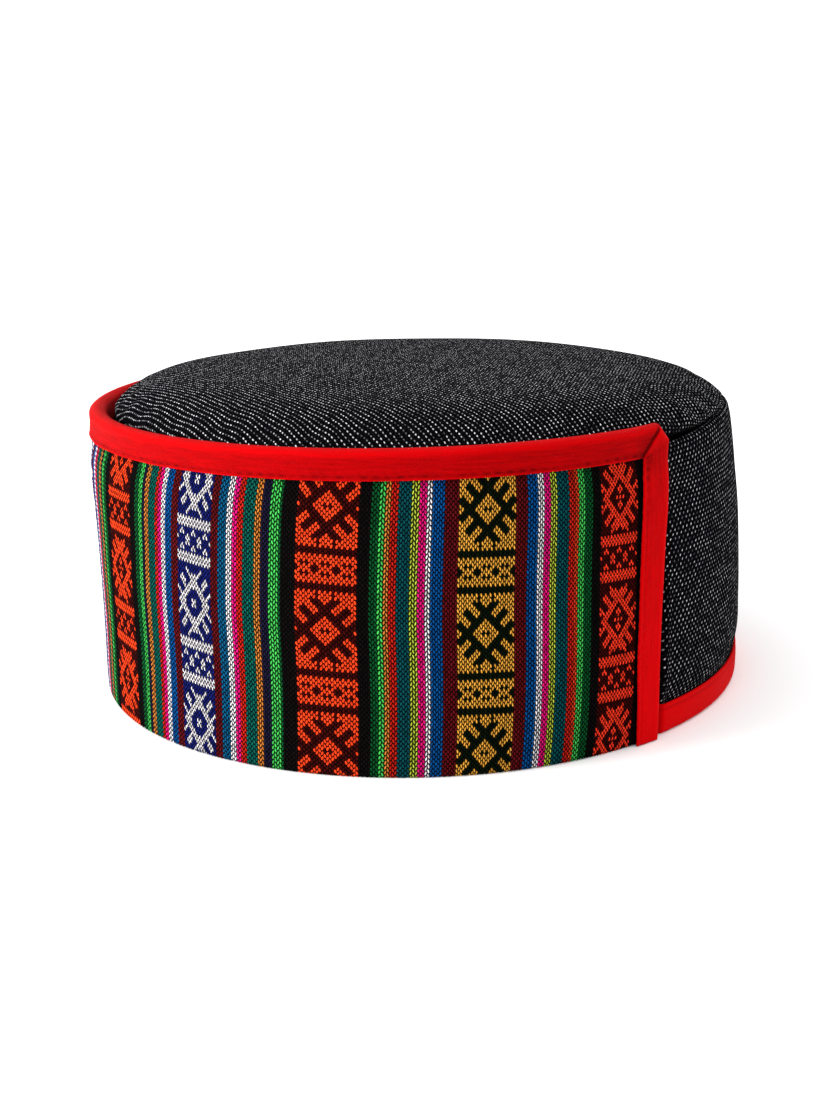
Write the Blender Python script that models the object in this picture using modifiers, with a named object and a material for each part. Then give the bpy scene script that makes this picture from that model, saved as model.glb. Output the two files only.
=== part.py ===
"""Himachali cap of the Kullu kind, standing on its rim.

A round crown of dark tweed is closed by a puffed top disc. A flap of patterned wool stands round its front
and sides and leaves the back of the crown bare. Red tape binds the crown's foot, and the flap's two ends and
top edge. Metres, +Z up. The origin is on the floor in the middle of the cap, and the wearer looks along -Y.
Angles round the cap are counted from the front, in degrees, so the middle of the bare back is at 180.
"""
import math
from collections import namedtuple

import bmesh
import bpy

# Driving sizes
CAP_HEIGHT = 0.0927
FLAP_HEIGHT = 0.0847
TWEED = 0.0020
FLAP_CLOTH = 0.0026
TAPE = 0.0008
GAP = 0.0003
RIM_TAPE_HEIGHT = 0.0077
FLAP_TAPE_WIDTH = 0.0076
SEAM_RADIUS = 0.0889
SEAM_ALLOWANCE = 0.0048

# Angles from the front, in degrees
CROWN_STEPS = 64
FLAP_STEPS = 44
FLAP_END = 123.4
SWELL_CLEARANCE = 0.7
SWELL_SPREAD = 2.2

# The crown's wall where it is bare, top to bottom. Under the flap it is pressed in by `tuck`.
WallRow = namedtuple("WallRow", "height radius tuck")
WALL_ROWS = (
    WallRow(0.0760, 0.0935, 0.0026),
    WallRow(0.0700, 0.0945, 0.0030),
    WallRow(0.0620, 0.0954, 0.0034),
    WallRow(0.0520, 0.0964, 0.0040),
    WallRow(0.0390, 0.0970, 0.0045),
    WallRow(0.0240, 0.0973, 0.0048),
    WallRow(0.0140, 0.0971, 0.0048),
    WallRow(0.0100, 0.0963, 0.0044),
    WallRow(0.0088, 0.0958, 0.0039),
    WallRow(0.0012, 0.0958, 0.0039),
)
TOP_TUCK = 0.0026

# The flap's outer face, top to bottom
FlapRow = namedtuple("FlapRow", "height radius")
FLAP_ROWS = (
    FlapRow(0.0835, 0.0950),
    FlapRow(0.0800, 0.0952),
    FlapRow(0.0765, 0.0956),
    FlapRow(0.0725, 0.0965),
    FlapRow(0.0660, 0.0969),
    FlapRow(0.0540, 0.0967),
    FlapRow(0.0400, 0.0966),
    FlapRow(0.0200, 0.0967),
    FlapRow(0.0070, 0.0970),
    FlapRow(0.0010, 0.0970),
)
FLAP_HEM_RADIUS = 0.0933
FLAP_HEM_HEIGHT = 0.0070
FLAP_FOOT_ROUND = 0.0010
# The hem has the cloth's plain thickness in this many columns at each end
HEM_EASED_COLUMNS = 1.5

# The puffed top: nearly flat, falling fast near its edge, then a roll into the seam. It leans to the back.
DOME_RADIUS = 0.0907
DOME_CROWN = 0.0015
DOME_FALL = 0.0076
DOME_POWER = 11.0
DOME_LEAN = 0.0014
DOME_FRACTIONS = (0.0, 0.40, 0.66, 0.80, 0.88, 0.94, 0.98, 1.0)
EDGE_ROLL = 0.0027
EDGE_ROLL_END = -50.0
DOME_INSET = 0.0006

# The fold at the top of the wall, which turns down into the seam
FOLD_RADIUS = 0.0021
FOLD_HEIGHT = 0.0772
FOLD_INSET = 0.0002
FOLD_START = 150.0
FOLD_END = 10.0
SEAM_SLOPE_RUN = 0.0004
SEAM_SLOPE_RISE = 0.0006

# The tape at the flap's ends: its outer edge leans, its inner edge is upright, and its top corner is cut off.
# TAPE_EASE is how far the tape sinks where it turns over an edge.
TAPE_FOOT_ANGLE = 124.1
TAPE_TOP_ANGLE = 125.7
TAPE_TOP_HEIGHT = 0.0725
TAPE_WIDEST_ANGLE = 126.7
TAPE_INNER_ANGLE = 120.0
TAPE_FOOT_HEIGHT = 0.0003
TapeRow = namedtuple("TapeRow", "edge_angle edge_height inner_angle inner_height")
TAPE_CORNER_ROWS = (
    TapeRow(126.2, 0.0770, TAPE_INNER_ANGLE, 0.0755),
    TapeRow(TAPE_WIDEST_ANGLE, 0.0810, TAPE_INNER_ANGLE, 0.0768),
    TapeRow(124.6, 0.0849, TAPE_INNER_ANGLE, 0.0770),
)
TAPE_EASE = 0.00016
RIM_INNER_SHARE = 0.8

COLOURS = {
    "tweed": (0.018, 0.017, 0.020),
    "red_tape": (0.72, 0.004, 0.010),
    "kullu_wool": (0.32, 0.10, 0.05),
}


def smooth(x):
    """Ease from 0 to 1 as x goes from 0 to 1."""
    x = min(max(x, 0.0), 1.0)
    return x * x * (3.0 - 2.0 * x)


def from_front(x, y):
    """The angle round the cap in degrees, 0 at the front and 180 at the back."""
    return math.degrees(math.atan2(abs(x), -y))


def at(angle, radius, height):
    """The point at an angle round the cap, which grows from the front towards +X."""
    turn = math.radians(angle)
    return (radius * math.sin(turn), -radius * math.cos(turn), height)


def along(rows, height, column):
    """A column of a table of rows at a height, straight between its rows and level past them."""
    if height >= rows[0].height:
        return getattr(rows[0], column)
    for upper, lower in zip(rows, rows[1:]):
        if height >= lower.height:
            part = (height - lower.height) / (upper.height - lower.height)
            low, high = getattr(lower, column), getattr(upper, column)
            return low + part * (high - low)
    return getattr(rows[-1], column)


def arc(radius, height, size, start, end, steps):
    """Points of a profile on a round of the given size, between two angles in degrees."""
    turns = [math.radians(start + (end - start) * i / steps) for i in range(steps + 1)]
    return [(radius + size * math.cos(t), height + size * math.sin(t)) for t in turns]


def material(name):
    """One Principled material for each kind of cloth."""
    found = bpy.data.materials.get(name)
    if found:
        return found
    made = bpy.data.materials.new(name)
    made.use_nodes = True
    shader = made.node_tree.nodes["Principled BSDF"]
    shader.inputs["Base Color"].default_value = (*COLOURS[name], 1.0)
    shader.inputs["Roughness"].default_value = 0.9
    shader.inputs["Metallic"].default_value = 0.0
    return made


def finish(name, mesh, cloth, collection):
    """Put a mesh in the cap's collection as a named object, shaded smooth."""
    mesh.name = name
    mesh.materials.clear()
    mesh.materials.append(material(cloth))
    mesh.shade_smooth()
    mesh.set_sharp_from_angle(angle=math.radians(40))
    piece = bpy.data.objects.new(name, mesh)
    collection.objects.link(piece)
    return piece


def turned(profile, closed, sweep, steps):
    """A profile in the plane of +X turned about Z by a sweep in degrees, as a new mesh."""
    line = bpy.data.meshes.new("profile")
    edges = [(i, i + 1) for i in range(len(profile) - 1)]
    if closed:
        edges.append((len(profile) - 1, 0))
    line.from_pydata([(radius, 0.0, height) for radius, height in profile], edges, [])
    guide = bpy.data.objects.new("profile", line)
    bpy.context.scene.collection.objects.link(guide)
    screw = guide.modifiers.new("turn", "SCREW")
    screw.axis = "Z"
    screw.angle = math.radians(sweep)
    screw.steps = steps
    screw.render_steps = steps
    screw.use_merge_vertices = sweep == 360.0
    screw.merge_threshold = 0.00001
    graph = bpy.context.evaluated_depsgraph_get()
    mesh = bpy.data.meshes.new_from_object(guide.evaluated_get(graph), depsgraph=graph)
    bpy.data.objects.remove(guide)
    return mesh


def tape_edge(height):
    """The angle of the tape's outer edge at the end of the flap, which leans out as it rises."""
    return TAPE_FOOT_ANGLE + (TAPE_TOP_ANGLE - TAPE_FOOT_ANGLE) * height / TAPE_TOP_HEIGHT


def press_in(mesh, tuck):
    """Press the crown in under the flap, by tuck(radius, height), and let it swell out just past its ends.

    The last column of points under the flap and the first one past it are moved to where the swelling
    starts and where it is full, so that it is one narrow step beside the tape.
    """
    step = 360.0 / CROWN_STEPS
    near = 0.1 * step
    first_bare = math.ceil(TAPE_WIDEST_ANGLE / step) * step
    for vertex in mesh.vertices:
        x, y, height = vertex.co
        radius = math.hypot(x, y)
        if radius == 0.0:
            continue
        angle = from_front(x, y)
        start = min(tape_edge(height), TAPE_WIDEST_ANGLE) + SWELL_CLEARANCE
        if abs(angle - first_bare) < near:
            angle = start + SWELL_SPREAD
        elif abs(angle - first_bare + step) < near:
            angle = start
        if angle < start + 0.5 * SWELL_SPREAD:
            radius -= tuck(radius, height)
        vertex.co = at(math.copysign(angle, x), radius, height)


def wall_tuck(radius, height):
    """How far the wall is pressed in: by its table, then evenly over the fold and the seam at its top."""
    if height > FOLD_HEIGHT - SEAM_ALLOWANCE - GAP:
        return TOP_TUCK
    return along(WALL_ROWS, height, "tuck")


def top_tuck(radius, height):
    """How far the top disc is pressed in: fully at its edge, less towards its middle."""
    return TOP_TUCK * min(radius / SEAM_RADIUS, 1.0) ** 4


def crown_side(collection):
    """The upright wall: bare outer face, foot, inner face, and the fold that turns into the seam."""
    seam = SEAM_RADIUS + GAP
    seam_foot = FOLD_HEIGHT - SEAM_ALLOWANCE
    outer = [(row.radius, row.height) for row in WALL_ROWS]
    inner = [(row.radius - TWEED, row.height) for row in reversed(WALL_ROWS[1:])]
    allowance = [
        (WALL_ROWS[0].radius - TWEED - SEAM_SLOPE_RUN, seam_foot),
        (seam, seam_foot + SEAM_SLOPE_RISE),
        (seam, FOLD_HEIGHT),
    ]
    fold = arc(seam + FOLD_RADIUS - FOLD_INSET, FOLD_HEIGHT, FOLD_RADIUS, FOLD_START, FOLD_END, 5)
    mesh = turned(fold + outer + inner + allowance, True, 360.0, CROWN_STEPS)
    press_in(mesh, wall_tuck)
    return finish("crown_side", mesh, "tweed", collection)


def dome_height(fraction):
    """The height of the puffed top at a fraction of its radius, before it leans."""
    return CAP_HEIGHT - DOME_CROWN * fraction ** 2 - DOME_FALL * fraction ** DOME_POWER


def lean_back(mesh):
    """Lower the puffed top towards the back and raise it towards the front, but not its seam."""
    seam = FOLD_HEIGHT + FOLD_RADIUS
    for vertex in mesh.vertices:
        free = smooth((vertex.co.z - seam) / (dome_height(1.0) - seam))
        vertex.co.z -= DOME_LEAN * free * vertex.co.y / DOME_RADIUS


def crown_top(collection):
    """The puffed disc: dome, rolled edge, the allowance turned down into the seam, and the inner face."""
    slope = math.atan((2.0 * DOME_CROWN + DOME_FALL * DOME_POWER) / DOME_RADIUS)
    roll_start = 90.0 - math.degrees(slope)
    roll_radius = DOME_RADIUS - EDGE_ROLL * math.sin(slope)
    roll_height = dome_height(1.0) - EDGE_ROLL * math.cos(slope)
    dome = [(f * DOME_RADIUS, dome_height(f)) for f in DOME_FRACTIONS]
    roll = arc(roll_radius, roll_height, EDGE_ROLL, roll_start, EDGE_ROLL_END, 4)[1:]
    seam_foot = FOLD_HEIGHT - SEAM_ALLOWANCE + SEAM_SLOPE_RISE
    allowance = [
        (SEAM_RADIUS, FOLD_HEIGHT + FOLD_RADIUS),
        (SEAM_RADIUS, seam_foot),
        (SEAM_RADIUS - TWEED, seam_foot),
        (SEAM_RADIUS - TWEED, FOLD_HEIGHT + FOLD_RADIUS),
    ]
    inner = [(f * (DOME_RADIUS - DOME_INSET), dome_height(f) - TWEED) for f in reversed(DOME_FRACTIONS[:-2])]
    mesh = turned(dome + roll + allowance + inner, False, 360.0, CROWN_STEPS)
    press_in(mesh, top_tuck)
    lean_back(mesh)
    return finish("crown_top", mesh, "tweed", collection)


def rim_binding(collection):
    """Red tape folded round the crown's foot."""
    wall = WALL_ROWS[-1]
    outside = wall.radius + GAP + TAPE
    inside = wall.radius - TWEED - GAP - TAPE
    inner_top = RIM_INNER_SHARE * RIM_TAPE_HEIGHT
    profile = [(outside, RIM_TAPE_HEIGHT)]
    profile += arc(outside - 2.0 * TAPE, 2.0 * TAPE, 2.0 * TAPE, 0.0, -90.0, 3)
    profile += arc(inside + TAPE, TAPE, TAPE, -90.0, -180.0, 2)
    profile += [(inside, inner_top), (inside + TAPE, inner_top)]
    profile += [(inside + TAPE, wall.height - GAP), (outside - TAPE, wall.height - GAP)]
    profile += [(outside - TAPE, RIM_TAPE_HEIGHT)]
    mesh = turned(profile, True, 360.0, CROWN_STEPS)
    press_in(mesh, lambda radius, height: wall.tuck)
    return finish("rim_binding", mesh, "red_tape", collection)


def front_band(collection):
    """The flap of patterned wool, with a thicker hem where it is sewn to the crown between its end tapes."""
    foot = FLAP_ROWS[-1]
    size = FLAP_FOOT_ROUND
    outer = [(row.radius, row.height) for row in FLAP_ROWS[:-1]]
    outer += arc(foot.radius - size, size, size, 0.0, -90.0, 3)
    hem = arc(FLAP_HEM_RADIUS + size, size, size, -90.0, -180.0, 2)
    hem.append((FLAP_HEM_RADIUS, FLAP_HEM_HEIGHT))
    inner = [(row.radius - FLAP_CLOTH, row.height) for row in reversed(FLAP_ROWS[:-2])]
    mesh = turned(outer + hem + inner, True, 2.0 * FLAP_END, FLAP_STEPS)
    eased = FLAP_END - HEM_EASED_COLUMNS * 2.0 * FLAP_END / FLAP_STEPS
    for vertex in mesh.vertices:
        x, y, height = vertex.co
        angle = math.degrees(math.atan2(y, x)) % 360.0 - FLAP_END
        radius = math.hypot(x, y)
        if abs(angle) > eased and height < FLAP_HEM_HEIGHT + GAP:
            radius = max(radius, foot.radius - FLAP_CLOTH)
        vertex.co = at(angle, radius, height)
    cap_ends(mesh)
    return finish("front_band", mesh, "kullu_wool", collection)


def cap_ends(mesh):
    """Fill the open ends of a swept mesh."""
    shape = bmesh.new()
    shape.from_mesh(mesh)
    bmesh.ops.holes_fill(shape, edges=[edge for edge in shape.edges if edge.is_boundary], sides=0)
    bmesh.ops.recalc_face_normals(shape, faces=shape.faces)
    shape.to_mesh(mesh)
    shape.free()


def tape_section(row, side):
    """The folded tape between its outer edge (0) and its inner edge (1), on one side of the cap."""
    out = GAP + TAPE
    back = -FLAP_CLOTH - out
    middle = 0.5 * (out + back)
    half = 0.5 * FLAP_TAPE_WIDTH / (FLAP_TAPE_WIDTH - out)
    fold = out / FLAP_TAPE_WIDTH
    lay = (
        (1.0, out), (0.5 * (1.0 + fold), out), (0.5 * fold, out - TAPE_EASE), (0.0, middle),
        (0.5 * fold, back + TAPE_EASE), (half, back), (1.0, back), (1.0, back + TAPE),
        (fold, back + TAPE), (fold, out - TAPE), (1.0, out - TAPE),
    )
    points = []
    for across, proud in lay:
        angle = row.edge_angle + across * (row.inner_angle - row.edge_angle)
        height = row.edge_height + across * (row.inner_height - row.edge_height)
        points.append(at(side * angle, along(FLAP_ROWS, height, "radius") + proud, height))
    return points


def tape_end_rows():
    """The tape up one end of the flap, with a row at each row of the flap, and round the cut corner."""
    heights = [TAPE_FOOT_HEIGHT]
    heights += [row.height for row in reversed(FLAP_ROWS[:-1]) if row.height <= TAPE_TOP_HEIGHT]
    rows = []
    for height in heights:
        rows.append(TapeRow(tape_edge(height), height, TAPE_INNER_ANGLE, height))
    return rows + list(TAPE_CORNER_ROWS)


def band_binding(collection):
    """Red tape folded over the flap: up one end, along the top and down the other, mitred at both corners."""
    step = 2.0 * FLAP_END / FLAP_STEPS
    end_rows = tape_end_rows()
    rows = [(row, -1.0) for row in end_rows]
    for i in range(1, FLAP_STEPS):
        angle = i * step - FLAP_END
        rows.append((TapeRow(angle, FLAP_HEIGHT, angle, FLAP_HEIGHT - FLAP_TAPE_WIDTH), 1.0))
    rows += [(row, 1.0) for row in reversed(end_rows)]
    shape = bmesh.new()
    loops = [[shape.verts.new(point) for point in tape_section(row, side)] for row, side in rows]
    for lower, upper in zip(loops, loops[1:]):
        for i, corner in enumerate(lower):
            follow = (i + 1) % len(lower)
            shape.faces.new((corner, lower[follow], upper[follow], upper[i]))
    mesh = bpy.data.meshes.new("band_binding")
    shape.to_mesh(mesh)
    shape.free()
    cap_ends(mesh)
    return finish("band_binding", mesh, "red_tape", collection)


def main():
    """Clear the scene and build the cap's five pieces."""
    for old in list(bpy.data.objects):
        bpy.data.objects.remove(old)
    collection = bpy.data.collections.new("himachali_cap")
    bpy.context.scene.collection.children.link(collection)
    crown_top(collection)
    crown_side(collection)
    rim_binding(collection)
    front_band(collection)
    band_binding(collection)


main()
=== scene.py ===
"""The looks of a Himachali cap of the Kullu kind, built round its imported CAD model.

Every piece is cloth: a black tweed crown, a flap of patterned wool woven float by float, and red tape.
Lengths are in millimetres and become metres where a mesh is made. Angles round the cap are counted from
its front (-Y) towards +X, in degrees. The flap's cloth is measured along its face in millimetres from the
line that faces the camera, positive to the camera's right.
"""

import math
from collections import namedtuple

import bpy
import numpy as np
from mathutils import Matrix, Vector


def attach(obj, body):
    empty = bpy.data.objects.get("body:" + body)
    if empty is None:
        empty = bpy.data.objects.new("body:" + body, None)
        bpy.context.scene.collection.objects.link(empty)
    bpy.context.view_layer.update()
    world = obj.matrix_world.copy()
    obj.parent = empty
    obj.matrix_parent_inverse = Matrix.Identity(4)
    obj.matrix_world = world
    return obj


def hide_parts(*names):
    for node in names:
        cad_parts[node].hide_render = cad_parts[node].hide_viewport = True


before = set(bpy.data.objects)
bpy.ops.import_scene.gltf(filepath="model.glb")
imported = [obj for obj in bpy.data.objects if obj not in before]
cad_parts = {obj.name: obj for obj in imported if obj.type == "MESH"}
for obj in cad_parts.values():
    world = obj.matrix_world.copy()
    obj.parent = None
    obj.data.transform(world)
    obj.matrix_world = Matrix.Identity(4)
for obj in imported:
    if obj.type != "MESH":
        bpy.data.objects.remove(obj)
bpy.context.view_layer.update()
MM = 0.001

# The camera: its place as an angle, a distance and a height, its turns in degrees, and its lens
CAMERA_ANGLE = 83.5
CAMERA_DISTANCE = 449.4
CAMERA_HEIGHT = 154.1
CAMERA_PITCH = -14.98
CAMERA_YAW = 0.14
CAMERA_ROLL = -1.62
CAMERA_LENS = 48.97
SENSOR_WIDTH = 36.0
CLIP_NEAR, CLIP_FAR = 0.02, 50.0


def camera():
    """The camera at the photograph's viewing angle, on the cap's left side."""
    data = bpy.data.cameras.new("camera")
    data.lens = CAMERA_LENS
    data.sensor_width = SENSOR_WIDTH
    data.clip_start, data.clip_end = CLIP_NEAR, CLIP_FAR
    seat = bpy.data.objects.new("camera", data)
    bpy.context.scene.collection.objects.link(seat)
    around = Matrix.Rotation(math.radians(CAMERA_ANGLE), 4, "Z")
    back = Matrix.Translation(Vector((0.0, -CAMERA_DISTANCE, CAMERA_HEIGHT)) * MM)
    yaw = Matrix.Rotation(math.radians(CAMERA_YAW), 4, "Z")
    pitch = Matrix.Rotation(math.radians(90.0 + CAMERA_PITCH), 4, "X")
    roll = Matrix.Rotation(math.radians(CAMERA_ROLL), 4, "Z")
    seat.matrix_world = around @ back @ yaw @ pitch @ roll
    bpy.context.scene.camera = seat


camera()

# Thicknesses and heights of the cap's parts, the same as the CAD model's or close to them
TWEED = 2.0
FLAP_CLOTH = 2.6
TAPE = 0.8
GAP = 0.3
FLAP_TOP = 84.7
FLAP_TAPE_WIDTH = 7.6
RIM_TAPE_HEIGHT = 8.4

# Outsides of the flap and the bare wall, and how much further in the wall lies under the flap
Row = namedtuple("Row", "height radius")
FLAP_PROFILE = (
    Row(0.0, 97.0), Row(7.0, 97.0), Row(20.0, 96.7), Row(40.0, 96.6), Row(54.0, 96.7),
    Row(66.0, 96.9), Row(72.5, 96.5), Row(76.5, 95.6), Row(80.0, 95.2), Row(84.7, 95.0),
)
WALL_PROFILE = (
    Row(0.0, 95.7), Row(8.8, 95.8), Row(10.0, 96.3), Row(14.0, 97.1), Row(24.0, 97.3), Row(39.0, 97.0),
    Row(52.0, 96.4), Row(62.0, 95.4), Row(70.0, 94.5), Row(76.0, 93.6), Row(80.0, 92.9),
)
WALL_TUCK = (
    Row(0.0, 3.9), Row(8.8, 3.9), Row(14.0, 4.8), Row(24.0, 4.8), Row(39.0, 4.5),
    Row(52.0, 4.0), Row(62.0, 3.4), Row(70.0, 3.0), Row(76.0, 2.6), Row(90.0, 2.6),
)


def curve(rows, x, column=1):
    """A smooth curve through a column of a table, over its first column, and level past its ends."""
    knots = np.array([row[0] for row in rows])
    values = np.array([row[column] for row in rows])
    slopes = np.gradient(values, knots)
    slopes[0] = slopes[-1] = 0.0
    x = np.clip(x, knots[0], knots[-1])
    i = np.clip(np.searchsorted(knots, x, side="right") - 1, 0, len(knots) - 2)
    span = knots[i + 1] - knots[i]
    t = (x - knots[i]) / span
    return (
        values[i] * (1 + 2 * t) * (1 - t) ** 2 + slopes[i] * span * t * (1 - t) ** 2
        + values[i + 1] * t * t * (3 - 2 * t) + slopes[i + 1] * span * t * t * (t - 1)
    )


def smooth(x):
    """Ease from 0 to 1 as x goes from 0 to 1."""
    x = np.clip(x, 0.0, 1.0)
    return x * x * (3.0 - 2.0 * x)


def bump_at(x, middle, width):
    """A soft bump of height 1 round a middle."""
    return np.exp(-(((x - middle) / width) ** 2))


def at(angle, radius, height):
    """Points round the cap from arrays of angles in degrees, radii and heights."""
    turn = np.radians(angle)
    return np.stack(np.broadcast_arrays(radius * np.sin(turn), -radius * np.cos(turn), height), axis=-1)


def arc(radius, height, size, start, end, steps):
    """Points of a section on a round, between two angles in degrees."""
    turn = np.radians(np.linspace(start, end, steps + 1))
    return np.stack([radius + size * np.cos(turn), height + size * np.sin(turn)], axis=-1)


def lengths(points, closed=False):
    """The way along a line of points to each of them, and on to the first again if the line is closed."""
    steps = np.diff(points, axis=0, append=points[:1]) if closed else np.diff(points, axis=0)
    return np.concatenate([[0.0], np.cumsum(np.linalg.norm(steps, axis=1))])


def squares(values):
    """A lattice's values at the four corners of each of its squares."""
    return values[:-1, :-1], values[:-1, 1:], values[1:, 1:], values[1:, :-1]


def quads(rows, columns, wrap_rows=False, wrap_columns=False):
    """Corner indices of the squares of a lattice of points, in rows."""
    index = np.arange(rows * columns).reshape(rows, columns)
    if wrap_rows:
        index = np.vstack([index, index[:1]])
    if wrap_columns:
        index = np.hstack([index, index[:, :1]])
    return np.stack(squares(index), axis=-1).reshape(-1, 4)


def corner_values(values):
    """Values on a lattice's points, given to the corners of its squares in the order of quads()."""
    return np.stack(squares(values), axis=2).reshape(-1, values.shape[-1])


def piece(name, points, faces, material, node, uv=None, shade=None):
    """A named object from points in millimetres, in the place of a part of the CAD model."""
    mesh = bpy.data.meshes.new(name)
    mesh.from_pydata((np.asarray(points).reshape(-1, 3) * MM).tolist(), [], faces)
    if uv is not None:
        mesh.uv_layers.new(name="cloth_mm").data.foreach_set("uv", np.asarray(uv, np.float32).ravel())
    if shade is not None:
        layer = mesh.attributes.new("shade", "FLOAT", "POINT")
        layer.data.foreach_set("value", np.float32(shade).ravel())
    mesh.materials.append(material)
    mesh.shade_smooth()
    made = bpy.data.objects.new(name, mesh)
    bpy.context.scene.collection.objects.link(made)
    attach(made, "root")
    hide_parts(node)
    return made


# How much brighter than its own colour a surface shows in the stage's light
LIGHT_LEVEL = 1.42


def linear(red, green, blue):
    """The surface colour that shows as these sRGB values in this stage's light."""
    values = np.array([red, green, blue]) / 255.0
    values = np.where(values <= 0.04045, values / 12.92, ((values + 0.055) / 1.055) ** 2.4)
    return tuple(values / LIGHT_LEVEL) + (1.0,)


class Shading:
    """A new material, and short calls for the nodes that feed its Principled shader."""

    def __init__(self, name, roughness, specular=0.0, sheen=0.0, sheen_roughness=0.5):
        self.material = bpy.data.materials.new(name)
        self.material.use_nodes = True
        self.tree = self.material.node_tree
        self.shader = self.tree.nodes["Principled BSDF"]
        self.shader.inputs["Roughness"].default_value = roughness
        self.shader.inputs["Specular IOR Level"].default_value = specular
        self.shader.inputs["Sheen Weight"].default_value = sheen
        self.shader.inputs["Sheen Roughness"].default_value = sheen_roughness

    def put(self, value, socket):
        """Link an output to a socket, or set the socket to a plain value."""
        if isinstance(value, bpy.types.NodeSocket):
            self.tree.links.new(value, socket)
        else:
            socket.default_value = value

    def node(self, kind, **settings):
        made = self.tree.nodes.new("ShaderNode" + kind)
        for key, value in settings.items():
            setattr(made, key, value)
        return made

    def math(self, operation, *values):
        made = self.node("Math", operation=operation)
        for value, socket in zip(values, made.inputs):
            self.put(value, socket)
        return made.outputs[0]

    def add(self, first, second):
        return self.math("ADD", first, second)

    def subtract(self, first, second):
        return self.math("SUBTRACT", first, second)

    def times(self, first, second):
        return self.math("MULTIPLY", first, second)

    def swing(self, value, size):
        """A value between 0 and 1 as one of a size centred on 0."""
        return self.times(self.subtract(value, 0.5), size)

    def oval(self, x, y, wide, tall):
        """How far out a point is in an oval: 0 in its middle and 1 on its edge."""
        across = self.math("POWER", self.math("DIVIDE", x, wide), 2.0)
        along = self.math("POWER", self.math("DIVIDE", y, tall), 2.0)
        return self.math("SQRT", self.add(across, along))

    def ribs(self, u, v, rate):
        """Ribs that cross each other, at a rate in radians to the millimetre."""
        first, second = (self.math("SINE", self.times(way, rate)) for way in (u, v))
        return self.times(first, second)

    def step(self, value, low, high):
        """A smooth step from 0 to 1 as a value goes from low to high."""
        made = self.node("MapRange", interpolation_type="SMOOTHSTEP")
        for key, number in (("Value", value), ("From Min", low), ("From Max", high)):
            self.put(number, made.inputs[key])
        return made.outputs["Result"]

    def mix(self, factor, first, second, blend="MIX"):
        made = self.node("Mix", data_type="RGBA", blend_type=blend)
        self.put(factor, made.inputs["Factor"])
        self.put(first, made.inputs[6])
        self.put(second, made.inputs[7])
        return made.outputs[2]

    def attribute(self, name, output="Fac"):
        return self.node("Attribute", attribute_name=name).outputs[output]

    def uv(self, name="cloth_mm"):
        """The two coordinates of a UV layer."""
        split = self.node("SeparateXYZ")
        self.put(self.node("UVMap", uv_map=name).outputs[0], split.inputs[0])
        return split.outputs[0], split.outputs[1]

    def join(self, x, y, z=0.0):
        made = self.node("CombineXYZ")
        for value, socket in zip((x, y, z), made.inputs):
            self.put(value, socket)
        return made.outputs[0]

    def noise(self, vector, scale, detail=2.0):
        made = self.node("TexNoise")
        self.put(vector, made.inputs["Vector"])
        self.put(scale, made.inputs["Scale"])
        self.put(detail, made.inputs["Detail"])
        return made.outputs[0]

    def random(self, vector):
        made = self.node("TexWhiteNoise", noise_dimensions="3D")
        self.put(vector, made.inputs["Vector"])
        return made.outputs[0]

    def finish(self, colour, height, distance):
        """The material, with its colour and a bump of a distance in metres."""
        self.put(colour, self.shader.inputs["Base Color"])
        bump = self.node("Bump")
        bump.inputs["Strength"].default_value = 1.0
        bump.inputs["Distance"].default_value = distance
        self.put(height, bump.inputs["Height"])
        self.put(bump.outputs[0], self.shader.inputs["Normal"])
        return self.material


# Flecks of the tweed: their lattice, how far they stray and slant, and half their width and height
FLECK_ROW = 1.2
FLECK_STEP = 1.83
FLECK_JITTER = 0.22
FLECK_SLANT = 0.42
TOP_FLECK = (0.21, 0.42)
WALL_FLECK = (0.20, 0.34)


def tweed_material(name, fleck):
    """Black wool with light flecks in a half-drop lattice, each as bright as chance has it."""
    s = Shading(name, roughness=0.95, sheen=0.004, sheen_roughness=0.3)
    u, v = s.uv()
    where = s.join(u, v)
    # The threads wander slowly
    u = s.add(u, s.times(s.noise(where, 0.05), 2.0))
    v = s.add(v, s.times(s.noise(s.join(v, u, 7.0), 0.06), 1.6))
    rows = s.math("DIVIDE", v, FLECK_ROW)
    row = s.math("FLOOR", rows)
    odd = s.math("MODULO", s.math("ABSOLUTE", row), 2.0)
    steps = s.add(s.math("DIVIDE", u, FLECK_STEP), s.times(odd, 0.5))
    place = s.math("FLOOR", steps)
    across = s.swing(s.math("FRACT", steps), FLECK_STEP)
    across = s.add(across, s.swing(s.random(s.join(place, row, 3.0)), FLECK_JITTER))
    along = s.swing(s.math("FRACT", rows), FLECK_ROW)
    far = s.oval(s.subtract(across, s.times(along, FLECK_SLANT)), along, *fleck)
    # Painted shade: the flecks fade where the cloth turns into the seam
    light = s.times(s.step(far, 1.2, 0.55), s.subtract(1.0, s.attribute("shade")))
    bright = s.math("POWER", s.random(s.join(row, place, 9.0)), 1.4)
    fibre = s.noise(where, 2.6, 1.0)
    ground = s.mix(s.step(fibre, 0.42, 0.72), linear(0, 0, 0), linear(26, 26, 30))
    colour = s.mix(light, ground, s.mix(bright, linear(86, 86, 92), linear(262, 262, 266)))
    return s.finish(colour, s.add(light, s.times(fibre, 0.6)), 0.00025)


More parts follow.
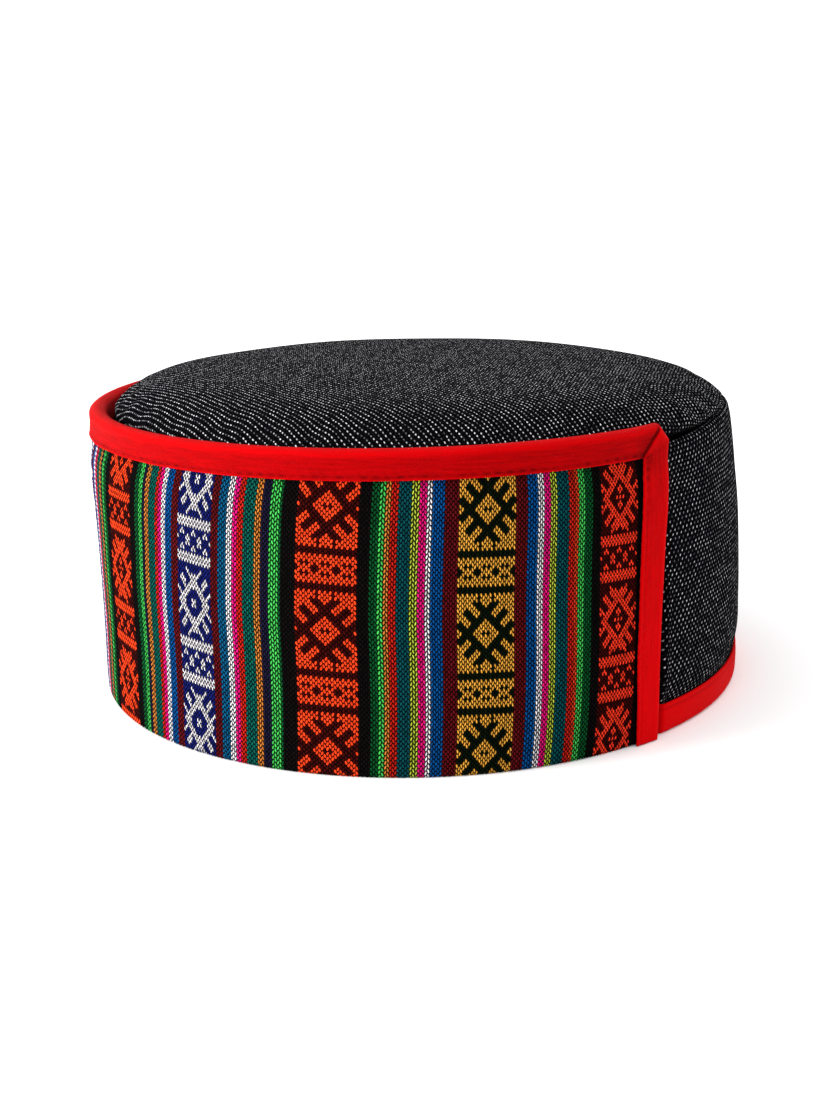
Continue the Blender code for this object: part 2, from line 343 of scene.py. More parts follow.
def wool_material():
    """The flap's wool: each float is a grain of its own colour over a dark gap."""
    s = Shading("kullu_wool", roughness=0.9, specular=0.01)
    u, v = s.uv("float")
    split = s.node("SeparateColor")
    s.put(s.attribute("make", "Color"), split.inputs[0])
    full, slant, shade = split.outputs
    y = s.subtract(v, 0.5)
    x = s.add(s.subtract(u, 0.5), s.times(y, s.swing(slant, 0.5)))
    grain = s.step(s.oval(x, y, s.times(full, 0.25), 0.43), 1.15, 0.7)
    yarn = s.attribute("yarn", "Color")
    fibre = s.noise(s.node("TexCoord").outputs["Object"], 4000.0)
    lit = s.add(s.times(fibre, 0.5), s.add(s.times(shade, 0.5), 0.55))
    gap = s.mix(0.965, yarn, linear(2, 2, 3))
    strand = s.mix(1.0, yarn, s.join(lit, lit, lit), blend="MULTIPLY")
    return s.finish(s.mix(grain, gap, strand), grain, 0.00018)


def tape_material():
    """Red cotton tape with a grain and lengthwise streaks, bright or deep as its `shade` says: painted
    highlights and painted shade.
    """
    s = Shading("red_tape", roughness=0.8, specular=0.02, sheen=0.01, sheen_roughness=0.4)
    u, v = s.uv()
    streak = s.noise(s.join(s.times(u, 0.12), s.times(v, 1.6)), 1.0)
    grain = s.noise(s.join(u, v), 4.0)
    tone = s.add(s.add(s.attribute("shade"), s.swing(streak, 0.4)), s.swing(grain, 0.7))
    colour = s.mix(s.step(tone, 0.0, 1.0), linear(108, 0, 2), linear(226, 0, 5))
    return s.finish(colour, s.add(s.times(s.ribs(u, v, 18.0), 0.25), s.add(grain, streak)), 0.00010)


def lining_material():
    """Plain dark wool with a fine crosswise weave."""
    s = Shading("lining", roughness=0.95)
    u, v = s.uv()
    tone = s.add(s.noise(s.join(u, v), 3.0, 3.0), s.times(s.ribs(u, v, 7.0), 0.25))
    colour = s.mix(s.step(tone, 0.2, 0.9), linear(16, 12, 14), linear(72, 60, 62))
    return s.finish(colour, tone, 0.00015)


# Each yarn's colour as it shows, and how much of its place in the weave its float fills
Yarn = namedtuple("Yarn", "red green blue full")
YARNS = {
    "black": Yarn(15, 11, 11, 0.95),
    "dark_green": Yarn(10, 75, 36, 0.90),
    "bright_green": Yarn(68, 192, 84, 0.67),
    "navy": Yarn(26, 24, 48, 0.92),
    "orange": Yarn(210, 126, 52, 0.64),
    "rust": Yarn(206, 62, 28, 0.82),
    "teal_green": Yarn(9, 84, 74, 0.92),
    "petrol": Yarn(8, 72, 78, 0.92),
    "sea_blue": Yarn(10, 79, 117, 0.92),
    "blue": Yarn(8, 76, 142, 0.84),
    "red": Yarn(190, 32, 20, 0.84),
    "pink": Yarn(216, 20, 112, 0.92),
    "white": Yarn(255, 250, 254, 0.55),
    "lime": Yarn(190, 208, 66, 0.53),
    "maroon": Yarn(92, 16, 20, 0.92),
    "flame": Yarn(242, 66, 28, 0.92),
    "dark_maroon": Yarn(58, 9, 7, 0.95),
    "gold": Yarn(240, 170, 62, 0.70),
    "dark_pine": Yarn(12, 21, 8, 0.95),
    "royal": Yarn(20, 26, 94, 0.95),
    "scarlet": Yarn(250, 58, 34, 0.90),
}

# Figures are charted over their left half, and all but the sprigs over their upper half alone. The rest
# is the mirror image. A hash is the figure's yarn and a dot is the ground's.
MEDALLION = (
    "#############",
    "########..###",
    "#############",
    "######.....##",
    "#######.....#",
    "########.....",
    "###..####....",
    "##....####...",
    "###....##....",
    "####.........",
    "#####......##",
    "..####....###",
    "...##....####",
    "........#####",
    "##.....######",
    "##.....###..#",
)
TRELLIS = (
    "#############",
    "#############",
    "#############",
    "###.#.#####.#",
    ".#######.####",
    "#.#####.#.###",
)
STAR = (
    "............",
    "......##....",
    "......###...",
    ".......####.",
    "...#....####",
    "..###....###",
    "...###...###",
    "....##..####",
    ".....#######",
    "#.....####..",
    "##...####...",
    ".##.####....",
    "..#####.....",
    "..####...###",
    ".#####....##",
)
BOLD_STAR = (
    "............",
    ".....###....",
    "......####..",
    "......#####.",
    "..##...#####",
    "..###...####",
    "...###..####",
    "....###.####",
    "....#######.",
    "#....#####..",
    "##...####..#",
    "###.####..#.",
    "..#####...##",
    ".#####...#.#",
    "#####...##.#",
)
SPRIGS = (
    "............",
    "..###.....##",
    "..###.....##",
    "......###...",
    "#.....###...",
    "#.....###...",
    "......###...",
    "..###.....##",
    "..###.....##",
    "............",
)


def unfold(rows, down=True):
    """A whole figure from its left half, and if `down` its upper half, as rows of True and False."""
    rows = [[char == "#" for char in line] for line in rows]
    rows = [line + line[-2::-1] for line in rows]
    return rows + rows[-2::-1] if down else rows


def repeat_of(parts, columns):
    """One repeat of a figured stripe from figures and counts of plain rows, negative for the ground."""
    rows = []
    for part in parts:
        rows += part if isinstance(part, list) else [[part > 0] * columns] * abs(part)
    return np.array(rows, dtype=bool)


WIDE = repeat_of((unfold(TRELLIS), -3, unfold(MEDALLION), -3), 25)
NARROW = repeat_of((unfold(SPRIGS, down=False), 4, -1, unfold(STAR), 4), 23)
BOLD = repeat_of((unfold(SPRIGS, down=False), 4, -1, unfold(BOLD_STAR), 4), 23)
# `trim` columns are left off each side of the chart
Figure = namedtuple("Figure", "chart figure ground trim")
FIGURES = {
    "flame_star": Figure(BOLD, "flame", "dark_maroon", 0),
    "white_star": Figure(NARROW, "white", "royal", 0),
    "flame_medallion": Figure(WIDE, "flame", "dark_maroon", 1),
    "gold_medallion": Figure(WIDE, "gold", "dark_pine", 0),
    "scarlet_star": Figure(BOLD, "scarlet", "dark_maroon", 0),
}

# One panel of the cloth, left to right as it shows from the camera's side
Stripe = namedtuple("Stripe", "width yarn")
PANEL_START = -106.0
PANEL = (
    Stripe(14.2, "flame_star"),
    Stripe(2.9, "black"), Stripe(2.1, "dark_green"), Stripe(1.7, "bright_green"), Stripe(1.3, "navy"),
    Stripe(1.9, "orange"), Stripe(3.0, "teal_green"), Stripe(1.3, "red"), Stripe(1.5, "pink"),
    Stripe(1.7, "white"), Stripe(2.5, "blue"), Stripe(2.6, "maroon"),
    Stripe(11.8, "white_star"),
    Stripe(2.3, "maroon"), Stripe(2.7, "sea_blue"), Stripe(1.8, "white"), Stripe(1.6, "pink"),
    Stripe(1.7, "red"), Stripe(3.4, "teal_green"), Stripe(1.9, "orange"), Stripe(2.3, "navy"),
    Stripe(2.9, "bright_green"), Stripe(0.5, "dark_green"), Stripe(4.0, "black"),
    Stripe(16.2, "flame_medallion"),
    Stripe(3.0, "black"), Stripe(2.0, "dark_green"), Stripe(1.6, "bright_green"), Stripe(1.3, "orange"),
    Stripe(1.9, "red"), Stripe(3.2, "petrol"), Stripe(2.1, "lime"), Stripe(1.8, "pink"),
    Stripe(1.4, "white"), Stripe(3.1, "blue"), Stripe(3.6, "maroon"),
    Stripe(14.6, "gold_medallion"),
    Stripe(3.1, "maroon"), Stripe(2.8, "blue"), Stripe(1.7, "white"), Stripe(1.7, "pink"),
    Stripe(1.9, "lime"), Stripe(3.4, "petrol"), Stripe(1.7, "red"), Stripe(1.0, "rust"),
    Stripe(1.9, "bright_green"), Stripe(2.3, "dark_green"), Stripe(2.6, "black"),
    Stripe(11.9, "scarlet_star"),
)
FLAP_START, FLAP_FINISH = -352.0, 66.0

# The weave's lattice: its half rows below and above the flap's foot, the columns of a plain stripe, and
# the level where the figures' repeat starts
HALF_ROW = 0.65
HALF_ROWS_BELOW = 18
HALF_ROWS_ABOVE = 132
COLUMN = 0.65
FIGURE_TOP = 57.2


def stripes():
    """Every stripe of the flap with its left edge: the panel, and its mirror images to the far end."""
    found, edge = [], PANEL_START
    for stripe in PANEL:
        found.append((edge, stripe))
        edge += stripe.width
    found.append((edge, Stripe(FLAP_FINISH - edge, "black")))
    hidden = PANEL[1:] + PANEL[-2::-1]
    edge, i = PANEL_START, 0
    while edge > FLAP_START:
        stripe = hidden[i % len(hidden)]
        edge -= stripe.width
        found.insert(0, (edge, stripe))
        i += 1
    return found


def weave():
    """The places of the cloth's columns and half rows, and the yarn on top where they cross."""
    places, yarns = [], []
    names = list(YARNS)
    heights = np.arange(-HALF_ROWS_BELOW, HALF_ROWS_ABOVE) * HALF_ROW
    for edge, (width, name) in stripes():
        figure = FIGURES.get(name)
        if figure:
            chart = figure.chart[:, figure.trim:figure.chart.shape[1] - figure.trim]
            count = chart.shape[1]
            row = np.round((FIGURE_TOP - heights) / HALF_ROW).astype(int)
            # Raised points meet the chart where its row and column add up to an even number
            row += (row[0] + len(places) + figure.trim) % 2
            on = chart[row % len(chart)]
            block = np.where(on, names.index(figure.figure), names.index(figure.ground)).T
        else:
            count = max(1, round(width / COLUMN))
            block = np.full((count, len(heights)), names.index(name))
        for i in range(count):
            places.append(edge + (i + 0.5) * width / count)
            yarns.append(block[i])
    return np.array(places), heights, np.array(yarns).T


# The flap's tape: the angles of its edges at its foot, at the top of its upright part and at its widest
TAPE_FOOT_ANGLE = 123.7
TAPE_TOP_ANGLE = 125.7
TAPE_WIDEST_ANGLE = 126.7
TAPE_TOP_HEIGHT = 72.5
TAPE_INNER_FOOT_ANGLE = 118.5
TAPE_INNER_ANGLE = 119.4

# The flap's cloth: its face and ends, its turned hem, how far its floats stand proud or sunk, where it
# leans, and how much its columns and floats vary in tone
FACE_RADIUS = 97.0
WOOL_END_ANGLE = TAPE_FOOT_ANGLE - 1.0
FLAP_CLOTH_TOP = 83.0
FOOT_ROUND = 1.0
HEM_DEPTH = 3.2
RELIEF = 0.09
FLOOR_CLEARANCE = 0.02
MIDDLE_HEIGHT = 40.0
LEAN_LEFT, LEAN_RIGHT = -105.0, 56.0
COLUMN_TONES, FLOAT_TONES = 0.07, 0.1

# How far the weft stands above its level at half height, and how much more for each millimetre of height
Drift = namedtuple("Drift", "place rise growth")
DRIFT = (
    Drift(-120.0, 6.1, 0.045), Drift(-99.0, 5.9, 0.045), Drift(-90.0, 5.5, 0.05),
    Drift(-63.6, 3.05, 0.065), Drift(-50.0, 1.8, 0.055), Drift(-24.3, 0.55, 0.028),
    Drift(16.0, -1.35, 0.016), Drift(53.5, -2.75, 0.034), Drift(70.0, -3.1, 0.034),
)


def lean(s, z):
    """How far right the stripes stray from their places at half height: they lean as they rise."""
    s = np.clip(s, LEAN_LEFT, LEAN_RIGHT)
    up = (1.7 - 0.029 * s) * (np.maximum(z - MIDDLE_HEIGHT, 0.0) / 34.0) ** 1.3
    down = np.maximum(0.7, 0.75 + 0.02 * s) * (np.maximum(MIDDLE_HEIGHT - z, 0.0) / 35.0) ** 2.5
    return 0.15 + 0.003 * s + up - down


def wool_surface(places, heights):
    """The outer cloth's points with its hem turned under, the raised ones, and the squares to keep."""
    s = places[None, :] + np.zeros((len(heights), 1))
    z = heights[:, None] + curve(DRIFT, s) + curve(DRIFT, s, 2) * (heights[:, None] - MIDDLE_HEIGHT)
    keep = (z[:-1, :-1] < FLAP_CLOTH_TOP) & (z[1:, 1:] > -HEM_DEPTH) & (z[1:, :-1] > -HEM_DEPTH)
    z = np.clip(z, -HEM_DEPTH, FLAP_CLOTH_TOP)
    face = np.maximum(z, FOOT_ROUND)
    angle = CAMERA_ANGLE + np.degrees((s + lean(s, face)) / FACE_RADIUS)
    angle = np.clip(angle, -WOOL_END_ANGLE, WOOL_END_ANGLE)
    raised = np.add.outer(np.arange(len(heights)), np.arange(len(places))) % 2 == 0
    proud = np.where(raised, RELIEF, -RELIEF)
    under = np.maximum(FOOT_ROUND - z, 0.0)
    turn = np.minimum(under / FOOT_ROUND, 0.5 * math.pi)
    flat = np.maximum(under - 0.5 * math.pi * FOOT_ROUND, 0.0)
    radius = curve(FLAP_PROFILE, face) - FOOT_ROUND + (FOOT_ROUND + proud) * np.cos(turn) - flat
    height = np.where(under > 0.0, FOOT_ROUND - (FOOT_ROUND + proud) * np.sin(turn), z)
    return at(angle, radius, np.maximum(height, FLOOR_CLEARANCE)), raised, keep


def float_triangles(raised, keep):
    """Triangles round the raised points, each a quarter of a float, and their corners' places in it."""
    middle, left, right, up, down = (0.5, 0.5), (0.0, 0.5), (1.0, 0.5), (0.5, 1.0), (0.5, 0.0)
    kinds = (
        (True, (0, 1, 3), (middle, right, up)),
        (True, (2, 3, 1), (middle, left, down)),
        (False, (1, 2, 0), (middle, up, left)),
        (False, (3, 0, 2), (middle, down, right)),
    )
    corners = squares(np.arange(raised.size).reshape(raised.shape))
    faces, uv = [], []
    for state, pick, spots in kinds:
        chosen = keep & (raised[:-1, :-1] == state)
        faces.append(np.stack([corners[k][chosen] for k in pick], axis=-1))
        uv.append(np.tile(np.array(spots), (len(faces[-1]), 1, 1)))
    return np.concatenate(faces), np.concatenate(uv)


def flap_wool(material):
    """The flap's outer cloth: a lattice whose alternate points stand proud, one for each float."""
    places, heights, yarns = weave()
    points, raised, keep = wool_surface(places, heights)
    faces, uv = float_triangles(raised, keep)
    random = np.random.RandomState(7)
    column_tone = 1.0 + random.uniform(-COLUMN_TONES, COLUMN_TONES, len(places))
    tone = column_tone[None, :] * (1.0 + random.uniform(-FLOAT_TONES, FLOAT_TONES, yarns.shape))
    centres = faces[:, 0]
    kind = yarns.ravel()[centres]
    colours = np.array([linear(yarn.red, yarn.green, yarn.blue) for yarn in YARNS.values()])[kind]
    colours[:, :3] *= tone.ravel()[centres][:, None]
    full = np.array([yarn.full for yarn in YARNS.values()])[kind]
    slant = centres % len(places) % 2
    shade = random.uniform(0.0, 1.0, yarns.size)[centres]
    make = np.stack([full, slant, shade, np.ones(len(kind))], axis=-1)
    made = piece("flap_wool", points, faces.tolist(), material, "front_band")
    made.data.uv_layers.new(name="float").data.foreach_set("uv", uv.astype(np.float32).ravel())
    for name, values in (("yarn", colours), ("make", make)):
        layer = made.data.color_attributes.new(name=name, type="FLOAT_COLOR", domain="CORNER")
        layer.data.foreach_set("color", np.repeat(values, 3, axis=0).astype(np.float32).ravel())


# The flap's inner face: where it ends at each side, above and below, and the thickness of the hem there
LINING_END_ANGLE = 122.5
LINING_TOP, LINING_FOOT = 81.5, 2.0
HEM_THICKNESS = 3.7


def flap_lining(material):
    """The flap's inner face: a plain wool sheet with its edges under the tape, down to the hem."""
    angles = np.linspace(-LINING_END_ANGLE, LINING_END_ANGLE, 246)
    heights = np.concatenate([np.linspace(LINING_TOP, 8.5, 60), [7.6, 7.2, 7.1, 6.6, 4.0, LINING_FOOT]])
    # The sheet steps inwards over the thicker hem
    inward = np.where(heights > 7.3, FLAP_CLOTH, np.where(heights > 7.05, 3.2, HEM_THICKNESS))
    radius = curve(FLAP_PROFILE, heights) - inward
    wave = 0.08 * np.sin(np.radians(angles)[None, :] * 9.0 + heights[:, None] * 0.1)
    points = at(angles[None, :], radius[:, None] + wave, heights[:, None])
    across = np.radians(angles)[None, :] * FACE_RADIUS
    uv = np.stack(np.broadcast_arrays(across, heights[:, None]), axis=-1)
    faces = quads(len(heights), len(angles)).tolist()
    made = piece("flap_lining", points, faces, material, "front_band", corner_values(uv))


# The crown swells out past the flap's ends: how far past, and over how many degrees
SWELL_CLEARANCE = 0.1
SWELL_SPREAD = 1.5

# The seam between disc and wall: it dips towards the flap's ends and rises again behind them
SEAM_RADIUS = 88.9
SEAM_HEIGHT = 79.3
SEAM_FOOT = 73.0
SEAM_DIP, SEAM_DIP_START, SEAM_DIP_SPREAD = 1.2, 100.0, 20.0
SEAM_RISE, SEAM_RISE_START, SEAM_RISE_SPREAD = 3.0, 126.0, 36.0

# The wall: the fold at its top, where painted shade darkens it into the seam, and the part that follows
# the seam up
FOLD_RADIUS = 2.1
FOLD_HEIGHT = 77.2
FOLD_INSET = 0.2
FOLD_START, FOLD_END = 150.0, 10.0
FOLD_SHADE_START, FOLD_SHADE_SPREAD = 75.0, 55.0
WALL_FOOT = 1.2
WALL_TOP, WALL_INSIDE_TOP = 75.5, 70.0
WALL_RISE_START, WALL_RISE_SPREAD = 60.0, 18.0
WALL_WAVE = 0.12

# The disc: its dome, its rolled edge and its painted shade, how the flap presses it in, its puckers, and
# the lie of its flecks
DOME_HEIGHT = 92.7
DOME_RADIUS = 90.7
DOME_CROWN = 1.5
DOME_FALL = 7.6
DOME_POWER = 11.0
DOME_LEAN = 1.4
DOME_MIDDLE = 0.004
DOME_INSET = 0.6
DOME_WAVE = 0.18
DOME_SLOPE = math.atan((2.0 * DOME_CROWN + DOME_FALL * DOME_POWER) / DOME_RADIUS)
EDGE_ROLL = 2.7
ROLL_START, ROLL_END = 90.0 - math.degrees(DOME_SLOPE), -50.0
ROLL_SHADE_START, ROLL_SHADE_SPREAD = 20.0, 50.0
DISC_PRESS, DISC_EASE_START, DISC_EASE_SPREAD = 2.6, 95.0, 38.0
DISC_RISE_TOP, DISC_RISE_SPREAD = 84.0, 5.0
PUCKERS, PUCKER_HEIGHT = 38, 0.34
DISC_FLECK_WIDE, DISC_FLECK_DEEP, DISC_SKEW = 1.05, 0.88, -0.235


def tape_edge(height):
    """The angle of the flap's outer tape edge at a height, in degrees from the front."""
    rise = TAPE_TOP_ANGLE - TAPE_FOOT_ANGLE
    share = np.minimum(height / TAPE_TOP_HEIGHT, 1.6)
    return np.minimum(TAPE_FOOT_ANGLE + rise * share, TAPE_WIDEST_ANGLE)


def crown_angles():
    """Angles of the crown's columns: even round the cap, and close where it swells out past the flap."""
    even = np.arange(0.0, 123.0, 1.0)
    close = np.arange(123.0, 130.0, 0.25)
    back = np.arange(130.0, 180.01, 1.0)
    half = np.concatenate([even, close, back])
    return np.concatenate([half, -half[-2:0:-1]])


def tucked(angle, height):
    """How much of the crown's tuck is left at an angle: all under the flap, none where it is bare."""
    start = tape_edge(height) + SWELL_CLEARANCE
    return 1.0 - smooth((np.abs(angle) - start) / SWELL_SPREAD)


def seam_rise(angle):
    """How much higher than its own level the crown's seam sits at an angle."""
    rise = SEAM_RISE * smooth((np.abs(angle) - SEAM_RISE_START) / SEAM_RISE_SPREAD)
    return rise - SEAM_DIP * smooth((np.abs(angle) - SEAM_DIP_START) / SEAM_DIP_SPREAD)


def loft(name, profile, tucks, wave, shade, material, node):
    """A closed profile swept round the crown, and pressed in by its tucks where the flap covers it."""
    angles = crown_angles()
    turn = np.radians(angles)[None, :]
    radius, height = profile[:, :1], profile[:, 1:]
    radius = radius - tucks[:, None] * tucked(angles[None, :], height)
    soft = wave * (np.sin(5 * turn + 0.05 * height) + 0.6 * np.sin(13 * turn - 0.09 * height + 1.0))
    rise = seam_rise(angles)[None, :] * smooth((height - WALL_RISE_START) / WALL_RISE_SPREAD)
    points = at(angles[None, :], radius + soft, height + rise)
    around, girth = lengths(points[len(profile) // 3], closed=True), lengths(profile, closed=True)
    uv = np.stack(np.broadcast_arrays(around[None, :], -girth[:, None]), axis=-1)
    uv = corner_values(uv).reshape(-1, 4, 2)[:, ::-1]
    faces = quads(len(profile), len(angles), wrap_rows=True, wrap_columns=True)[:, ::-1].tolist()
    # The painted light and shade wander a little round the cap
    shade = shade[:, None] * (1.0 + 0.14 * np.sin(11 * turn + 2.0) * np.sin(4 * turn))
    return piece(name, points, faces, material, node, uv, shade)


def crown_wall(material):
    """The upright wall, from the fold at its top down the outside, round the foot and up the inside."""
    seam_out = SEAM_RADIUS + GAP
    fold = arc(seam_out + FOLD_RADIUS - FOLD_INSET, FOLD_HEIGHT, FOLD_RADIUS, FOLD_START, FOLD_END, 12)
    heights = np.linspace(WALL_TOP, WALL_FOOT, 56)
    outer = np.stack([curve(WALL_PROFILE, heights), heights], axis=-1)
    inside = np.linspace(WALL_FOOT, WALL_INSIDE_TOP, 14)
    inner = np.stack([curve(WALL_PROFILE, inside) - TWEED, inside], axis=-1)
    seam = np.array([(seam_out, 72.8), (seam_out, 75.0)])
    profile = np.concatenate([fold, outer, inner, seam])
    tucks = curve(WALL_TUCK, profile[:, 1])
    # Painted shade: the flecks fade down the fold into the seam, and none show in the seam itself
    shade = np.zeros(len(profile))
    turns = np.linspace(FOLD_START, FOLD_END, len(fold))
    shade[:len(fold)] = smooth((turns - FOLD_SHADE_START) / FOLD_SHADE_SPREAD)
    shade[-len(seam):] = 1.0
    made = loft("crown_wall", profile, tucks, WALL_WAVE, shade, material, "crown_side")


def dome_height(fraction):
    """The height of the puffed top at a fraction of its radius, before it leans."""
    return DOME_HEIGHT - DOME_CROWN * fraction ** 2 - DOME_FALL * fraction ** DOME_POWER


def disc_profile():
    """The disc's section: the dome from its middle out, the rolled edge, the seam and the inside."""
    fractions = 1.0 - (1.0 - np.linspace(DOME_MIDDLE, 1.0, 70)) ** 1.25
    dome = np.stack([fractions * DOME_RADIUS, dome_height(fractions)], axis=-1)
    middle_out = DOME_RADIUS - EDGE_ROLL * math.sin(DOME_SLOPE)
    middle_up = dome_height(1.0) - EDGE_ROLL * math.cos(DOME_SLOPE)
    roll = arc(middle_out, middle_up, EDGE_ROLL, ROLL_START, ROLL_END, 12)[1:]
    seam = np.array([(SEAM_RADIUS, SEAM_HEIGHT), (SEAM_RADIUS, 76.0), (SEAM_RADIUS, SEAM_FOOT)])
    fractions = np.linspace(0.97, DOME_MIDDLE, 24)
    inner = np.concatenate([
        [(SEAM_RADIUS - TWEED, SEAM_FOOT), (SEAM_RADIUS - TWEED, SEAM_HEIGHT)],
        np.stack([fractions * (DOME_RADIUS - DOME_INSET), dome_height(fractions) - TWEED], axis=-1),
    ])
    return dome, roll, seam, inner


def disc_points(profile, angles):
    """The disc's section swept round: pressed in by the flap, leaning, waved, and puckered at its edge."""
    radius, height = profile[:, :1], profile[:, 1:]
    turn = np.radians(angles)[None, :]
    share = np.clip(radius / SEAM_RADIUS, 0.0, 1.0)
    pressed = 1.0 - smooth((np.abs(angles[None, :]) - DISC_EASE_START) / DISC_EASE_SPREAD)
    rolled = radius - DISC_PRESS * share ** 4 * pressed
    x, y = rolled * np.sin(turn), -rolled * np.cos(turn)
    free = smooth((height - SEAM_HEIGHT) / (dome_height(1.0) - SEAM_HEIGHT))
    soft = np.sin(3 * turn + 0.4) + 0.7 * np.sin(7 * turn + 0.06 * radius)
    soft = DOME_WAVE * share * soft * free
    ripple = np.sin(PUCKERS * turn + 2.0 * np.sin(5 * turn))
    pucker = PUCKER_HEIGHT * smooth((share - 0.9) / 0.1) * ripple * free
    near_seam = smooth((DISC_RISE_TOP - height) / DISC_RISE_SPREAD)
    rise = np.maximum(seam_rise(angles), 0.0)[None, :] * near_seam
    z = height - DOME_LEAN * free * y / DOME_RADIUS + soft + pucker + rise
    return np.stack([x, y, z], axis=-1)


def crown_top(material):
    """The puffed disc: dome, rolled edge and seam outside, and the same inside."""
    angles = crown_angles()
    dome, roll, seam, inner = disc_profile()
    profile = np.concatenate([dome, roll, seam, inner])
    rows, columns, outside = len(profile), len(angles), len(profile) - len(inner)
    points = disc_points(profile, angles)
    run = np.where(np.arange(rows) < outside, lengths(profile) + profile[0, 0], profile[:, 0])
    turn = np.radians(angles)[None, :] - np.radians(CAMERA_ANGLE)
    u, v = run[:, None] * np.sin(turn), run[:, None] * np.cos(turn)
    uv = np.stack([(u - DISC_SKEW * v) / DISC_FLECK_WIDE, v / DISC_FLECK_DEEP], axis=-1)
    uv = np.concatenate([uv, uv[:, :1]], axis=1)
    faces = quads(rows, columns, wrap_columns=True)[:, ::-1].tolist()
    first, last = list(range(columns)), list(range((rows - 1) * columns, rows * columns))[::-1]
    corners = corner_values(uv).reshape(-1, 4, 2)[:, ::-1].reshape(-1, 2)
    corners = np.concatenate([corners, uv[0, :-1], uv[-1, -2::-1]])
    # Painted shade: the flecks fade down the rolled edge into the seam, and none show in the seam itself
    turns = np.linspace(ROLL_START, ROLL_END, len(roll))
    dark = smooth((ROLL_SHADE_START - turns) / ROLL_SHADE_SPREAD)
    shade = np.concatenate([np.zeros(len(dome)), dark, np.ones(len(seam)), np.zeros(len(inner))])
    shade = np.repeat(shade, columns)
    made = piece("crown_disc", points, faces + [first, last], material, "crown_top",
                 corners, shade)


# The rim's tape: the wall it clasps, its tuck under the flap, its stitches below the edge, and its waves
RIM_RADIUS = 95.8
RIM_TUCK = 3.9
RIM_STITCH = 1.2
RIM_WAVE = 0.05


def rim_tape(material):
    """Red tape folded round the crown's foot."""
    outside, inside = RIM_RADIUS + GAP + TAPE, RIM_RADIUS - TWEED - GAP - TAPE
    top, stitches = RIM_TAPE_HEIGHT, RIM_TAPE_HEIGHT - RIM_STITCH
    heights = np.linspace(top, 2.0, 14)
    swell = 0.12 * np.sin(np.pi * (top - heights) / 6.4) - 0.16 * bump_at(heights, stitches, 0.35)
    outer = np.stack([outside + swell, heights], axis=-1)
    foot = arc(outside - 1.6, 1.6, 1.6, 0.0, -90.0, 6)
    heel = arc(inside + 0.8, 0.8, 0.8, -90.0, -180.0, 4)
    inner = np.array([
        (inside, 3.0), (inside, 6.2), (inside + 0.4, 6.5), (inside + TAPE, 6.2), (inside + TAPE, 0.9),
        (outside - TAPE, 0.9), (outside - TAPE, top), (outside - 0.4, top + 0.2),
    ])
    profile = np.concatenate([outer, foot, heel, inner])
    # Painted highlight along the tape's upper edge and painted shade in its sunk stitches
    face = 0.9 + 0.2 * bump_at(heights, top - 0.3, 0.5) - 0.4 * bump_at(heights, stitches, 0.4)
    shade = np.concatenate([face, np.full(len(profile) - len(face), 0.8)])
    tucks = np.full(len(profile), RIM_TUCK)
    made = loft("rim_tape", profile, tucks, RIM_WAVE, shade, material, "rim_binding")


# Rows of the flap's tape by its two edges, with how far the row stands proud and how bright it is
TapeRow = namedtuple("TapeRow", "edge_angle edge_height inner_angle inner_height lift tone")
TAPE_LOW = FLAP_TOP - FLAP_TAPE_WIDTH
MITRE_LIFT = 0.45
TAPE_KEYS = (
    TapeRow(TAPE_FOOT_ANGLE, 0.3, TAPE_INNER_FOOT_ANGLE, 0.3, 0.2, 0.38),
    TapeRow(TAPE_TOP_ANGLE, TAPE_TOP_HEIGHT, TAPE_INNER_ANGLE, TAPE_TOP_HEIGHT, 0.3, 0.1),
    TapeRow(126.2, 77.0, TAPE_INNER_ANGLE + 0.4, 75.5, 0.4, 0.0),
    TapeRow(TAPE_WIDEST_ANGLE, 81.0, TAPE_INNER_ANGLE + 0.6, 76.8, MITRE_LIFT, 0.0),
    # Painted highlight on the fold beside the mitre's crease
    TapeRow(124.6, 84.9, TAPE_INNER_ANGLE + 0.6, 77.0, MITRE_LIFT, 0.3),
    # Painted shade in the mitre's crease
    TapeRow(124.35, 84.9, 119.85, 77.1, -0.25, -0.9),
    TapeRow(123.6, 84.85, 119.3, 77.1, 0.0, -0.1),
    TapeRow(119.0, FLAP_TOP, 118.5, TAPE_LOW, 0.0, 0.0),
    TapeRow(0.0, FLAP_TOP, 0.0, TAPE_LOW, 0.0, 0.0),
)
TAPE_STEPS = (110, 8, 6, 8, 1, 2, 8, 300)
STITCH_STEP = 3.0
STITCH_LINE = 0.87
STITCH_WIDTH = 0.045


def tape_rows():
    """The tape's rows up one end of the flap, round its cut corner, and to the middle of its top."""
    rows = [TAPE_KEYS[0]]
    for first, last, count in zip(TAPE_KEYS, TAPE_KEYS[1:], TAPE_STEPS):
        for i in range(1, count + 1):
            rows.append(TapeRow(*(a + (b - a) * i / count for a, b in zip(first, last))))
    return rows


def tape_lay():
    """The folded tape's section: shares of its width from the fold, and its distance off the cloth."""
    out = GAP + TAPE
    back = -FLAP_CLOTH - out
    fold = out / FLAP_TAPE_WIDTH
    middle, half = 0.5 * (out + back), 0.5 * (out - back)
    face = [(x, out) for x in np.linspace(0.98, 0.24, 20)]
    turns = np.linspace(0.1, math.pi - 0.1, 14)
    roll = [(0.20 - 0.20 * math.sin(turn), middle + half * math.cos(turn)) for turn in turns]
    rear = [(x, back) for x in np.linspace(0.30, 0.98, 6)]
    inside = [(1.0, back + 0.4), (0.98, back + TAPE), (fold + 0.1, back + TAPE), (fold + 0.02, middle),
              (fold + 0.1, out - TAPE), (0.98, out - TAPE), (1.0, out - 0.4)]
    return np.array(face + roll + rear + inside)


def stitch_beat(run):
    """1 in the middle of each stitch along the tape and 0 between two."""
    return 0.5 + 0.5 * np.cos(2.0 * math.pi * run / STITCH_STEP)


